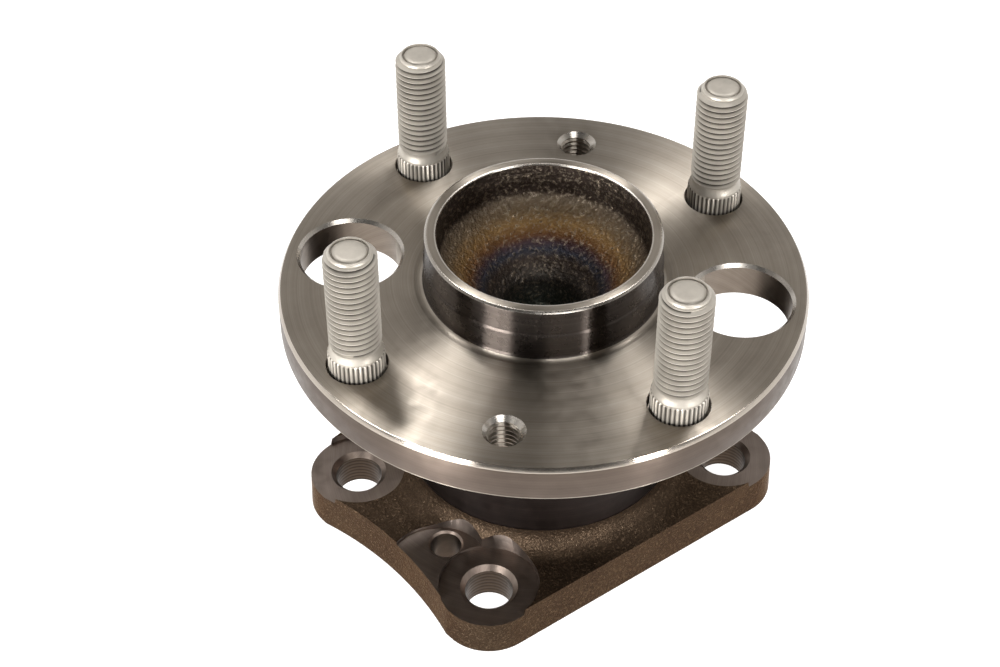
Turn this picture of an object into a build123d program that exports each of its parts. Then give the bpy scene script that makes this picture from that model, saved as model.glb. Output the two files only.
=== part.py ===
from build123d import *
import os
from math import cos, hypot, radians, sin

# A wheel hub bearing for an undriven axle: a flanged hub turns on two rows of balls inside an
# outer ring that bolts to the axle. Millimetres. Z is the axis of rotation and +Z points to the
# wheel. The origin is the centre of the wheel flange's face. The bolt holes of the outer ring are
# symmetric about the YZ plane. A point of a section is (radius, height).

# Wheel side: flange, pilot and bowl of the hub
stud_circle_d = 100.0
stud_count = 4
flange_d = 121.2
flange_t = 9.2
flange_chamfer = 0.6
flange_chamfer_h = 1.05
back_chamfer = 0.5
access_angle = -46.15  # first tool access hole, from +X
stud_angle = access_angle + 45.0
puller_angle = access_angle + 90.0
access_d = 23.5
access_chamfer = 0.75
puller_drill_d = 6.9
puller_countersink_d = 9.5
stud_hole_d = 12.2
stud_relief_d = 13.7
stud_relief_depth = 3.0
pilot_d = 54.0  # centres the wheel
pilot_chamfer = 0.5
disc_pilot_d = 54.7  # centres the brake disc or drum
disc_pilot_h = 6.6
pilot_top = 13.3
foot_h = 0.7  # the pilot's wall runs out above a relief groove
relief_d = 59.2
relief_depth = 0.2
bowl_mouth_d = 48.5
bowl_shoulder_h = 4.6
bowl_cone_d = 28.0
bowl_cone_h = -3.2
pocket_mouth_d = 19.0
pocket_mouth_h = -8.5
pocket_d = 16.6
pocket_floor = -17.0

# Wheel studs, M12 with a pitch of 1.5
stud_thread_d = 11.7
stud_top = 32.5
stud_tip_d = 8.6
stud_tip_chamfer_h = 1.6
stud_thread_end = 7.0
stud_neck_d = 11.1
stud_knurl_top = 4.2
stud_head_d = 15.4
stud_head_t = 3.5
thread_pitch = 1.5
thread_turns = 15
thread_root_d = 10.0
thread_crest_flat = 0.2
thread_root_flat = 0.4
stud_head_chamfer = 0.8

# Rolling elements
ball_d = 9.525
ball_count = 13
pitch_d = 47.0
race_clearance = 0.09  # between a ball and its raceway
race_wrap = 64.0  # degrees from the bottom of a groove to its shoulder
row_z = {"outboard": -28.0, "inboard": -52.0}

# Hub spindle and the inner ring that is pressed on it
boss_d = 65.0
boss_face = -14.2
boss_edge_d = 61.0
seal_land_radius = 5.0
ring_seat_d = 28.0
ring_start = -40.0
ring_end = -64.0
ring_bore_chamfer = 1.5
ring_edge_chamfer = 0.6
rivet_d = 36.0
rivet_end = -68.0
rivet_round = 1.8
spindle_recess_d = 17.0
spindle_recess_bottom_d = 12.0
spindle_recess_depth = 9.0

# Outer ring: neck, forged bolting flange and the spigot that enters the axle
neck_d = 65.6
neck_top = -16.2
neck_foot = -50.25
plate_top = -55.6
spotface_z = -58.0
mount_face = -66.9
spigot_d = 65.0
spigot_end = -75.0
seat_d = 58.6  # seats of the seal and of the cap
seal_seat_end = -22.6
cap_seat_start = -61.5
edge_chamfer = 0.5
spigot_chamfer = 1.0
bolt_circle_d = 90.5
bolt_angles = (27.05, 152.95, 218.05, 321.95)
bolt_hole_d = 11.2
bolt_countersink_d = 13.5
spotface_d = 23.6
lobe_r = 12.0
waist = 8.9  # from the line between two lobe centres out to the hollowed side
forging_draft = 2.0
flank_knee = (36.0, -51.6)
flank_toe = (40.2, -55.2)
side_hole_r = 38.7  # from the axis
side_hole_angle = 198.06
side_hole_d = 7.3
side_countersink_d = 8.34
side_spot_angle = 201.4
side_spot_d = 24.0
side_spot_z = -57.7

# Sheet metal, seal and encoder
sheet = 0.8
seal_case_top = -16.5
seal_case_face = -20.4
seal_case_bore_d = 48.8
lip_gap = 0.12
lip_body_t = 0.7
lip_t = 0.8  # at a lip's root
lip_edge = 0.3  # at its tip
outer_lip_root = 26.6
inner_lip_root = 24.2
inner_lip_angle = 50.0
encoder_sheet = 0.7
encoder_top = -59.8
encoder_face = -64.6
encoder_d = 55.2
encoder_bore_d = 44.6
magnet_t = 1.0
magnet_chamfer = 0.3
cap_rim = -62.5
cap_face = -67.3
cap_step_d = 42.0
cap_dome_d = 38.0
cap_dome_face = -70.0
cap_bend = 0.5

# Cages
cage_bore_d = 42.4
cage_finger_d = 53.2
cage_base_bore_d = 44.0
cage_base_d = 54.8
cage_tip = -2.2  # heights here are from the row's plane towards the seal
cage_base_low = 3.6
cage_base_high = 5.6
pocket_clearance = 0.12

# Worked out
flange_r = flange_d / 2
pitch_r = pitch_d / 2
race_r = ball_d / 2 + race_clearance
inner_land_r = pitch_r - race_r * cos(radians(race_wrap))
inner_bottom_r = pitch_r - race_r
outer_bottom_r = pitch_r + race_r
seat_r = seat_d / 2
neck_r = neck_d / 2
bolt_r = bolt_circle_d / 2
ring_seat_r = ring_seat_d / 2


def polar_point(radius, angle):
    """A point of the XY plane from its distance and angle from +X."""
    return (radius * cos(radians(angle)), radius * sin(radians(angle)))


def race_arc(z_row, start, end):
    """Three points of a raceway's section, at angles about the ball's centre."""
    angles = (start, (start + end) / 2, end)
    return [(pitch_r + race_r * cos(radians(a)), z_row + race_r * sin(radians(a))) for a in angles]


def save(build, label):
    build.part.label = label
    export_step(build.part, f"parts/{label}.step")


os.makedirs("parts", exist_ok=True)

# Hub: wheel flange, pilots, bowl and spindle in one forging
with BuildPart() as wheel_hub:
    with BuildSketch(Plane.XZ):
        with BuildLine():
            bowl = FilletPolyline(
                (0, pocket_floor),
                (pocket_d / 2, pocket_floor),
                (pocket_mouth_d / 2, pocket_mouth_h),
                (bowl_cone_d / 2, bowl_cone_h),
                (bowl_mouth_d / 2, bowl_shoulder_h),
                (bowl_mouth_d / 2, pilot_top),
                radius=[2.0, 3.0, 3.0, 4.0],
            )
            front = Polyline(
                bowl @ 1,
                (pilot_d / 2 - pilot_chamfer, pilot_top),
                (pilot_d / 2, pilot_top - pilot_chamfer),
                (pilot_d / 2, disc_pilot_h + pilot_chamfer / 2),
                (disc_pilot_d / 2, disc_pilot_h - pilot_chamfer / 2),
                (disc_pilot_d / 2, foot_h),
                (disc_pilot_d / 2 + foot_h + relief_depth, -relief_depth),
                (relief_d / 2 - relief_depth * 2, -relief_depth),
                (relief_d / 2, 0),
                (flange_r - flange_chamfer, 0),
                (flange_r, -flange_chamfer_h),
                (flange_r, back_chamfer - flange_t),
                (flange_r - back_chamfer, -flange_t),
                (boss_d / 2, -flange_t),
                (boss_edge_d / 2, boss_face),
                (inner_land_r + seal_land_radius, boss_face),
            )
            seal_land = RadiusArc(
                front @ 1, (inner_land_r, boss_face - seal_land_radius), -seal_land_radius
            )
            groove = ThreePointArc(*race_arc(row_z["outboard"], 180 - race_wrap, 180))
            Line(seal_land @ 1, groove @ 0)
            spindle = Polyline(
                groove @ 1,
                (inner_bottom_r, ring_start),
                (ring_seat_r, ring_start),
                (ring_seat_r, ring_end + ring_bore_chamfer),
                (ring_seat_r + ring_bore_chamfer, ring_end),
                (rivet_d / 2, ring_end),
                (rivet_d / 2, rivet_end + rivet_round),
            )
            rivet = RadiusArc(
                spindle @ 1, (rivet_d / 2 - rivet_round, rivet_end), rivet_round
            )
            Polyline(
                rivet @ 1,
                (spindle_recess_d / 2, rivet_end),
                (spindle_recess_bottom_d / 2, rivet_end + spindle_recess_depth),
                (0, rivet_end + spindle_recess_depth),
                bowl @ 0,
            )
        make_face()
    revolve(axis=Axis.Z)
    with PolarLocations(stud_circle_d / 2, stud_count, start_angle=stud_angle):
        CounterBoreHole(stud_hole_d / 2, stud_relief_d / 2, stud_relief_depth)
    with PolarLocations(stud_circle_d / 2, 2, start_angle=puller_angle):
        CounterSinkHole(puller_drill_d / 2, puller_countersink_d / 2, counter_sink_angle=90)
    with PolarLocations(bolt_r, 2, start_angle=access_angle):
        Hole(access_d / 2)
    access_edges = wheel_hub.edges().filter_by(GeomType.CIRCLE)
    access_edges = access_edges.filter_by(lambda edge: abs(edge.radius - access_d / 2) < 0.01)
    chamfer(access_edges, access_chamfer)
save(wheel_hub, "wheel_hub")

# Wheel studs, pressed into the flange from behind. The thread's turns are parallel grooves.
thread_flank = (thread_pitch - thread_crest_flat - thread_root_flat) / 2
thread_form = []
for turn in range(thread_turns):
    groove_top = stud_top - stud_tip_chamfer_h - thread_crest_flat - thread_pitch * turn
    root_top = groove_top - thread_flank
    root_bottom = root_top - thread_root_flat
    thread_form += [
        (stud_thread_d / 2, groove_top),
        (thread_root_d / 2, root_top),
        (thread_root_d / 2, root_bottom),
        (stud_thread_d / 2, root_bottom - thread_flank),
    ]
for number in range(stud_count):
    centre = polar_point(stud_circle_d / 2, stud_angle + 360 / stud_count * number)
    section_plane = Plane(origin=(*centre, 0), x_dir=(1, 0, 0), z_dir=(0, -1, 0))
    with BuildPart() as wheel_stud:
        with BuildSketch(section_plane):
            with BuildLine():
                Polyline(
                    (0, stud_top),
                    (stud_tip_d / 2, stud_top),
                    (stud_thread_d / 2, stud_top - stud_tip_chamfer_h),
                    *thread_form,
                    (stud_thread_d / 2, stud_thread_end),
                    (stud_neck_d / 2, stud_thread_end),
                    (stud_neck_d / 2, stud_thread_end - 0.6),
                    (stud_hole_d / 2, stud_knurl_top),
                    (stud_hole_d / 2, -flange_t),
                    (stud_head_d / 2, -flange_t),
                    (stud_head_d / 2, -flange_t - stud_head_t + stud_head_chamfer),
                    (stud_head_d / 2 - stud_head_chamfer, -flange_t - stud_head_t),
                    (0, -flange_t - stud_head_t),
                    close=True,
                )
            make_face()
        revolve(axis=Axis((*centre, 0), (0, 0, 1)))
    save(wheel_stud, f"wheel_stud_{number + 1}")

# Outer ring: forged flange, machined neck and spigot, two raceways in one bore
lobe_centres = [polar_point(bolt_r, angle) for angle in bolt_angles]
upper_right, upper_left, lower_left, lower_right = lobe_centres
side_half = hypot(upper_left[0] - lower_left[0], upper_left[1] - lower_left[1]) / 2
side_angle = (bolt_angles[1] + bolt_angles[2]) / 2
# The hollow of a side is a circle that touches both of its lobes.
hollow_r = (waist**2 + side_half**2 - lobe_r**2) / (2 * (lobe_r - waist))
hollow_distance = bolt_r * cos(radians((bolt_angles[2] - bolt_angles[1]) / 2)) + waist + hollow_r
centre_r = -lower_left[1] + lobe_r
with BuildPart() as outer_ring:
    with BuildSketch(Plane.XY.offset(mount_face)):
        with BuildSketch(mode=Mode.PRIVATE) as lobes:
            Circle(centre_r)
            with Locations(*lobe_centres):
                Circle(lobe_r)
        make_hull(lobes.edges())
        with Locations(
            polar_point(hollow_distance, side_angle),
            polar_point(hollow_distance, 180 - side_angle),
        ):
            Circle(hollow_r, mode=Mode.SUBTRACT)
    extrude(amount=neck_foot - mount_face, taper=forging_draft)
    with BuildSketch(Plane.XZ):
        with BuildLine():
            flank = FilletPolyline(
                (flange_d, plate_top),
                flank_toe,
                flank_knee,
                (neck_r, neck_foot),
                radius=[4.0, 4.0],
            )
            Polyline(flank @ 1, (0, neck_foot), (0, mount_face), (flange_d, mount_face), flank @ 0)
        make_face()
    revolve(axis=Axis.Z, mode=Mode.INTERSECT)
    with BuildSketch(Plane.XZ):
        with BuildLine():
            Polyline(
                (0, neck_top),
                (neck_r - edge_chamfer, neck_top),
                (neck_r, neck_top - edge_chamfer),
                (neck_r, neck_foot),
                (spigot_d / 2, neck_foot - 1),
                (spigot_d / 2, spigot_end + spigot_chamfer),
                (spigot_d / 2 - spigot_chamfer, spigot_end),
                (0, spigot_end),
                close=True,
            )
        make_face()
    revolve(axis=Axis.Z)
    with BuildSketch(Plane.XZ):
        with BuildLine():
            mouth = Polyline(
                (0, neck_top),
                (seat_r + edge_chamfer, neck_top),
                (seat_r, neck_top - edge_chamfer),
                (seat_r, seal_seat_end),
                (outer_bottom_r, seal_seat_end),
                (outer_bottom_r, row_z["outboard"]),
            )
            outboard_groove = ThreePointArc(*race_arc(row_z["outboard"], 0, -race_wrap))
            inboard_groove = ThreePointArc(*race_arc(row_z["inboard"], race_wrap, 0))
            Line(outboard_groove @ 1, inboard_groove @ 0)
            Polyline(
                inboard_groove @ 1,
                (outer_bottom_r, cap_seat_start),
                (seat_r, cap_seat_start),
                (seat_r, spigot_end + edge_chamfer),
                (seat_r + edge_chamfer, spigot_end),
                (0, spigot_end),
                mouth @ 0,
            )
        make_face()
    revolve(axis=Axis.Z, mode=Mode.SUBTRACT)
    with BuildSketch(Plane.XY.offset(spotface_z)):
        with Locations(*lobe_centres):
            Circle(spotface_d / 2)
    extrude(amount=neck_foot - spotface_z, mode=Mode.SUBTRACT)
    with BuildSketch(Plane.XY.offset(side_spot_z)):
        with Locations(polar_point(bolt_r, side_spot_angle)):
            Circle(side_spot_d / 2)
    extrude(amount=neck_foot - side_spot_z, mode=Mode.SUBTRACT)
    with Locations(*[(*centre, spotface_z) for centre in lobe_centres]):
        CounterSinkHole(bolt_hole_d / 2, bolt_countersink_d / 2, counter_sink_angle=90)
    with Locations((*polar_point(side_hole_r, side_hole_angle), side_spot_z)):
        CounterSinkHole(side_hole_d / 2, side_countersink_d / 2, counter_sink_angle=90)
save(outer_ring, "outer_ring")

# Inner ring: the inboard inner raceway, pressed on the spindle
with BuildPart() as inner_ring:
    with BuildSketch(Plane.XZ):
        with BuildLine():
            start = Polyline(
                (ring_seat_r, ring_end + ring_bore_chamfer),
                (ring_seat_r, ring_start),
                (inner_bottom_r - ring_edge_chamfer, ring_start),
                (inner_bottom_r, ring_start - ring_edge_chamfer),
                (inner_bottom_r, row_z["inboard"]),
            )
            groove = ThreePointArc(*race_arc(row_z["inboard"], 180, 180 + race_wrap))
            Polyline(
                groove @ 1,
                (inner_land_r, ring_end + ring_edge_chamfer),
                (inner_land_r - ring_edge_chamfer, ring_end),
                (ring_seat_r + ring_bore_chamfer, ring_end),
                start @ 0,
            )
        make_face()
    revolve(axis=Axis.Z)
save(inner_ring, "inner_ring")

# Balls, each its own piece
for row, z_row in row_z.items():
    for number in range(ball_count):
        with BuildPart() as ball:
            with Locations((*polar_point(pitch_r, 360 / ball_count * number), z_row)):
                Sphere(ball_d / 2)
        save(ball, f"ball_{row}_{number + 1:02d}")

# Snap cages: a base ring on the seal's side and a finger between each two balls
for row, z_row in row_z.items():
    side = 1 if row == "outboard" else -1
    with BuildPart() as cage:
        with BuildSketch(Plane.XZ):
            with BuildLine():
                Polyline(
                    (cage_bore_d / 2, z_row + side * cage_tip),
                    (cage_finger_d / 2, z_row + side * cage_tip),
                    (cage_finger_d / 2, z_row + side * cage_base_low),
                    (cage_base_d / 2, z_row + side * cage_base_low),
                    (cage_base_d / 2, z_row + side * cage_base_high),
                    (cage_base_bore_d / 2, z_row + side * cage_base_high),
                    (cage_base_bore_d / 2, z_row + side * cage_base_low),
                    (cage_bore_d / 2, z_row + side * (cage_base_low - 1)),
                    close=True,
                )
            make_face()
        revolve(axis=Axis.Z)
        with Locations((0, 0, z_row)):
            with PolarLocations(pitch_r, ball_count):
                Sphere(ball_d / 2 + pocket_clearance, mode=Mode.SUBTRACT)
    save(cage, f"cage_{row}")

# Outboard seal: a pressed steel case in the outer ring
case_inner_r = seat_r - sheet
with BuildPart() as outboard_seal_case:
    with BuildSketch(Plane.XZ):
        with BuildLine():
            Polyline(
                (seat_r, seal_case_top),
                (seat_r, seal_case_face),
                (seal_case_bore_d / 2, seal_case_face),
                (seal_case_bore_d / 2, seal_case_face + sheet),
                (case_inner_r, seal_case_face + sheet),
                (case_inner_r, seal_case_top),
                close=True,
            )
        make_face()
    revolve(axis=Axis.Z)
save(outboard_seal_case, "outboard_seal_case")

# Its rubber: one lip on the spindle's land and two on the back of the hub flange
lip_base = seal_case_face + sheet
lip_top = lip_base + lip_body_t
outer_tip = (case_inner_r - lip_edge, boss_face - lip_gap)
land_centre = (inner_land_r + seal_land_radius, boss_face - seal_land_radius)
inner_tip = (
    land_centre[0] - (seal_land_radius - lip_gap) * cos(radians(inner_lip_angle)),
    land_centre[1] + (seal_land_radius - lip_gap) * sin(radians(inner_lip_angle)),
)
radial_tip = (inner_land_r + lip_gap, seal_case_face - lip_edge)
with BuildPart() as outboard_seal_lip:
    with BuildSketch(Plane.XZ):
        with BuildLine():
            Polyline(
                (case_inner_r - lip_edge, lip_base),
                (case_inner_r - lip_edge, lip_top),
                (outer_lip_root + lip_t, lip_top),
                outer_tip,
                (outer_tip[0] - lip_edge, outer_tip[1]),
                (outer_lip_root, lip_top),
                (inner_lip_root + lip_t, lip_top),
                (inner_tip[0] + lip_edge, inner_tip[1]),
                inner_tip,
                (inner_lip_root, lip_top),
                (inner_lip_root - lip_t, lip_base),
                radial_tip,
                (radial_tip[0] + lip_edge, radial_tip[1] - lip_edge),
                (seal_case_bore_d / 2, seal_case_face),
                (seal_case_bore_d / 2, lip_base),
                close=True,
            )
        make_face()
    revolve(axis=Axis.Z)
save(outboard_seal_lip, "outboard_seal_lip")

# Encoder: a steel carrier pressed on the inner ring, with a magnetised rubber ring on its face
carrier_back = encoder_face - encoder_sheet
with BuildPart() as encoder_carrier:
    with BuildSketch(Plane.XZ):
        with BuildLine():
            Polyline(
                (inner_land_r, encoder_top),
                (inner_land_r + encoder_sheet, encoder_top),
                (inner_land_r + encoder_sheet, encoder_face),
                (encoder_d / 2, encoder_face),
                (encoder_d / 2, carrier_back),
                (inner_land_r, carrier_back),
                close=True,
            )
        make_face()
    revolve(axis=Axis.Z)
save(encoder_carrier, "encoder_carrier")

with BuildPart() as encoder_magnet:
    with BuildSketch(Plane.XY.offset(carrier_back)):
        Circle(encoder_d / 2)
        Circle(encoder_bore_d / 2, mode=Mode.SUBTRACT)
    extrude(amount=-magnet_t)
    chamfer(encoder_magnet.faces().sort_by(Axis.Z)[0].outer_wire().edges(), magnet_chamfer)
save(encoder_magnet, "encoder_magnet")

# Cap: a drawn cup that closes the inboard end, with a dome round the riveted spindle
with BuildPart() as inboard_cap:
    with BuildSketch(Plane.XZ):
        with BuildLine():
            Polyline(
                (seat_r, cap_rim),
                (seat_r, cap_face - sheet),
                (cap_step_d / 2, cap_face - sheet),
                (cap_dome_d / 2, cap_dome_face - sheet),
                (0, cap_dome_face - sheet),
                (0, cap_dome_face),
                (cap_dome_d / 2, cap_dome_face),
                (cap_step_d / 2, cap_face),
                (seat_r - sheet, cap_face),
                (seat_r - sheet, cap_rim),
                close=True,
            )
        make_face()
    revolve(axis=Axis.Z)
    rim_edges = inboard_cap.edges().filter_by_position(
        Axis.Z, cap_dome_face - sheet - 0.01, cap_face - sheet + 0.01
    )
    fillet(rim_edges, cap_bend)
save(inboard_cap, "inboard_cap")
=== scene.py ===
from math import atan2, cos, hypot, radians, sin, tau

import bpy
from mathutils import Matrix, Vector


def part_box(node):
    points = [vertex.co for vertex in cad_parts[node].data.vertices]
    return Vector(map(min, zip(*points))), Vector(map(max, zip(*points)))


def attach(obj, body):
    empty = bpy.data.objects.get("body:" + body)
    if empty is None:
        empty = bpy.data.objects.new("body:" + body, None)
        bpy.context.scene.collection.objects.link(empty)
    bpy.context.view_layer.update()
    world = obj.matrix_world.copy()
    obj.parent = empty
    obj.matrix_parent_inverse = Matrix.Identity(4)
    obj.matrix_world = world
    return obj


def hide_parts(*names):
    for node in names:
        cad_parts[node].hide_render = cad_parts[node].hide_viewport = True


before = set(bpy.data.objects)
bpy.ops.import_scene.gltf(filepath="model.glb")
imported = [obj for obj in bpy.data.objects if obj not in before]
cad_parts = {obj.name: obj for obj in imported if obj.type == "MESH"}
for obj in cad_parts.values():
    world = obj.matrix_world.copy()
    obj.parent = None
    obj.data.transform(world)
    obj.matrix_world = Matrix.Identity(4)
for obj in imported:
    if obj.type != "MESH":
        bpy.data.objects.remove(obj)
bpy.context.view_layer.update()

# A wheel hub bearing: a flanged hub with four studs over the outer ring that bolts to the axle.
# Z is the axis of rotation, and the origin is the centre of the wheel flange's face. A point of a
# section is (radius, height). Sizes and places are in millimetres, and a piece is made in metres.

MM = 0.001

# Driving sizes that the scene shares with the solids.
FLANGE_R = 60.6
FLANGE_BACK = -9.2
STUD_CIRCLE_R = 50.0
STUD_COUNT = 4
BOLT_CIRCLE_R = 45.25
ACCESS_ANGLE = -46.15
STUD_ANGLE = ACCESS_ANGLE + 45.0
PULLER_ANGLE = ACCESS_ANGLE + 90.0
STUD_ANGLES = [STUD_ANGLE + 360 / STUD_COUNT * number for number in range(STUD_COUNT)]


def polar(radius, angle):
    return Vector((radius * cos(radians(angle)), radius * sin(radians(angle)), 0.0))


def link(tree, source, target):
    tree.links.new(source, target)


def fill_ramp(ramp, stops):
    """Sets a ramp's stops, each a place from 0 to 1 with its colour, in rising order."""
    elements = ramp.color_ramp.elements
    elements[0].position = stops[0][0]
    elements[-1].position = stops[-1][0]
    for place, colour in stops[1:-1]:
        elements.new(place)
    for element, (place, colour) in zip(elements, stops):
        element.color = (*colour, 1)


# ---------------------------------------------------------------- camera, light and floor

VIEW_AZIMUTH = -35.654
VIEW_ELEVATION = 43.2315
VIEW_ROLL = -0.1965
VIEW_DISTANCE = 465.82 * MM
VIEW_RIGHT = -9.868 * MM
VIEW_UP = -13.167 * MM
LENS = 73.28
SENSOR_WIDTH = 36.0
ROOM_SHADES = [
    (0.22, (1.0, 1.0, 1.0)),
    (0.6, (0.62, 0.6, 0.58)),
    (0.85, (0.2, 0.185, 0.17)),
]
FRONT_SHADE = 0.12
FLOOR_SIZE = 6.0
FLOOR_GLOW = 0.7


def make_camera():
    azimuth, elevation, roll = (radians(a) for a in (VIEW_AZIMUTH, VIEW_ELEVATION, VIEW_ROLL))
    back = Vector((sin(azimuth) * cos(elevation), -cos(azimuth) * cos(elevation), sin(elevation)))
    level_right = Vector((cos(azimuth), sin(azimuth), 0))
    level_up = back.cross(level_right)
    right = level_right * cos(roll) + level_up * sin(roll)
    up = level_up * cos(roll) - level_right * sin(roll)
    data = bpy.data.cameras.new("camera")
    data.lens = LENS
    data.sensor_width = SENSOR_WIDTH
    data.clip_start = 0.01
    data.clip_end = 50.0
    camera = bpy.data.objects.new("camera", data)
    bpy.context.scene.collection.objects.link(camera)
    turn = Matrix((right, up, back)).transposed().to_4x4()
    place = back * VIEW_DISTANCE + right * VIEW_RIGHT + up * VIEW_UP
    camera.matrix_world = Matrix.Translation(place) @ turn
    bpy.context.scene.camera = camera


def make_world():
    """A white room that is darker overhead and in front."""
    world = bpy.data.worlds.new("studio")
    world.use_nodes = True
    tree = world.node_tree
    room = tree.nodes["Background"]
    place = tree.nodes.new("ShaderNodeTexCoord")
    height = tree.nodes.new("ShaderNodeSeparateXYZ")
    walls = tree.nodes.new("ShaderNodeValToRGB")
    fill_ramp(walls, ROOM_SHADES)
    azimuth = radians(VIEW_AZIMUTH)
    side = tree.nodes.new("ShaderNodeVectorMath")
    side.operation = "DOT_PRODUCT"
    side.inputs[1].default_value = (sin(azimuth) * 0.9, -cos(azimuth) * 0.9, 0.43)
    shade = tree.nodes.new("ShaderNodeMapRange")
    shade.interpolation_type = "SMOOTHSTEP"
    shade.inputs["From Min"].default_value = 0.2
    shade.inputs["From Max"].default_value = 0.75
    shade.inputs["To Min"].default_value = 1.0
    shade.inputs["To Max"].default_value = FRONT_SHADE
    link(tree, place.outputs["Generated"], height.inputs[0])
    link(tree, height.outputs["Z"], walls.inputs["Fac"])
    link(tree, place.outputs["Generated"], side.inputs[0])
    link(tree, side.outputs["Value"], shade.inputs["Value"])
    link(tree, walls.outputs["Color"], room.inputs["Color"])
    link(tree, shade.outputs["Result"], room.inputs["Strength"])
    bpy.context.scene.world = world


def softbox(name, azimuth, elevation, distance, size, power):
    """An area light at an azimuth from the camera's and an elevation, aimed at the part."""
    a, e = radians(VIEW_AZIMUTH + azimuth), radians(elevation)
    back = Vector((sin(a) * cos(e), -cos(a) * cos(e), sin(e)))
    data = bpy.data.lights.new(name, "AREA")
    data.shape = "RECTANGLE"
    data.size, data.size_y = size
    data.energy = power
    light = bpy.data.objects.new(name, data)
    bpy.context.scene.collection.objects.link(light)
    light.location = back * distance
    light.rotation_mode = "QUATERNION"
    light.rotation_quaternion = back.to_track_quat("Z", "Y")


def make_floor():
    """A pale floor that the camera and reflections see as white, with the part's shadow."""
    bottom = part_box("outer_ring")[0].z
    bpy.ops.mesh.primitive_plane_add(size=FLOOR_SIZE, location=(0, 0, bottom))
    floor = bpy.context.object
    floor.name = "floor"
    material, tree, shader = new_material("floor")
    shader.inputs["Base Color"].default_value = (0.7, 0.69, 0.68, 1)
    shader.inputs["Roughness"].default_value = 0.9
    shader.inputs["Specular IOR Level"].default_value = 0.1
    glow = tree.nodes.new("ShaderNodeEmission")
    glow.inputs["Strength"].default_value = FLOOR_GLOW
    path = tree.nodes.new("ShaderNodeLightPath")
    seen = math_node(tree, "MAXIMUM", path.outputs["Is Camera Ray"], path.outputs["Is Glossy Ray"])
    seen = math_node(tree, "MAXIMUM", seen, path.outputs["Is Transmission Ray"])
    total = tree.nodes.new("ShaderNodeAddShader")
    choice = tree.nodes.new("ShaderNodeMixShader")
    link(tree, shader.outputs[0], total.inputs[0])
    link(tree, glow.outputs[0], total.inputs[1])
    link(tree, seen, choice.inputs["Fac"])
    link(tree, shader.outputs[0], choice.inputs[1])
    link(tree, total.outputs[0], choice.inputs[2])
    link(tree, choice.outputs[0], tree.nodes["Material Output"].inputs["Surface"])
    floor.data.materials.append(material)


# ---------------------------------------------------------------- node groups

def new_group(name, inputs, outputs):
    """A shader group with number inputs, each with its default, and number outputs."""
    tree = bpy.data.node_groups.new(name, "ShaderNodeTree")
    for label, value in inputs.items():
        socket = tree.interface.new_socket(label, in_out="INPUT", socket_type="NodeSocketFloat")
        socket.default_value = value
    for label in outputs:
        tree.interface.new_socket(label, in_out="OUTPUT", socket_type="NodeSocketFloat")
    return tree, tree.nodes.new("NodeGroupInput"), tree.nodes.new("NodeGroupOutput")


def math_node(tree, operation, a, b=None):
    node = tree.nodes.new("ShaderNodeMath")
    node.operation = operation
    for socket, value in zip(node.inputs, (a, b)):
        if value is None:
            continue
        if isinstance(value, (int, float)):
            socket.default_value = value
        else:
            link(tree, value, socket)
    return node.outputs[0]


def noise_node(tree, vector, scale, detail=3.0, roughness=0.55, dimensions="3D"):
    node = tree.nodes.new("ShaderNodeTexNoise")
    node.noise_dimensions = dimensions
    node.inputs["Detail"].default_value = detail
    node.inputs["Roughness"].default_value = roughness
    if isinstance(scale, (int, float)):
        node.inputs["Scale"].default_value = scale
    else:
        link(tree, scale, node.inputs["Scale"])
    link(tree, vector, node.inputs["W" if dimensions == "1D" else "Vector"])
    return node.outputs["Fac"]


def object_place(tree):
    return tree.nodes.new("ShaderNodeTexCoord").outputs["Object"]


def about_axis(tree):
    """The distance from the axis of rotation, and the height."""
    split = tree.nodes.new("ShaderNodeSeparateXYZ")
    link(tree, object_place(tree), split.inputs[0])
    x, y, height = split.outputs
    squares = [math_node(tree, "MULTIPLY", side, side) for side in (x, y)]
    return math_node(tree, "SQRT", math_node(tree, "ADD", *squares)), height


def make_turning_group():
    """Fine rings that a lathe tool leaves about the axis, on faces and on cylinders alike."""
    tree, given, out = new_group("turning_marks", {"Rings per metre": 3000.0}, ["Height", "Shade"])
    radius, height = about_axis(tree)
    along = math_node(tree, "ADD", radius, math_node(tree, "MULTIPLY", height, 1.31))
    fine = noise_node(tree, along, given.outputs[0], 2.0, 0.5, "1D")
    coarse_scale = math_node(tree, "MULTIPLY", given.outputs[0], 0.12)
    coarse = noise_node(tree, along, coarse_scale, 3.0, 0.6, "1D")
    both = math_node(tree, "ADD", fine, coarse)
    link(tree, fine, out.inputs["Height"])
    link(tree, math_node(tree, "MULTIPLY", both, 0.5), out.inputs["Shade"])
    return tree


def make_stain_group():
    """Soft oil and finger stains."""
    tree, given, out = new_group("stains", {"Scale": 40.0}, ["Fac", "Fine"])
    place = object_place(tree)
    link(tree, noise_node(tree, place, given.outputs[0], 4.0, 0.6), out.inputs["Fac"])
    fine_scale = math_node(tree, "MULTIPLY", given.outputs[0], 9.0)
    link(tree, noise_node(tree, place, fine_scale, 3.0, 0.6), out.inputs["Fine"])
    return tree


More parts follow.
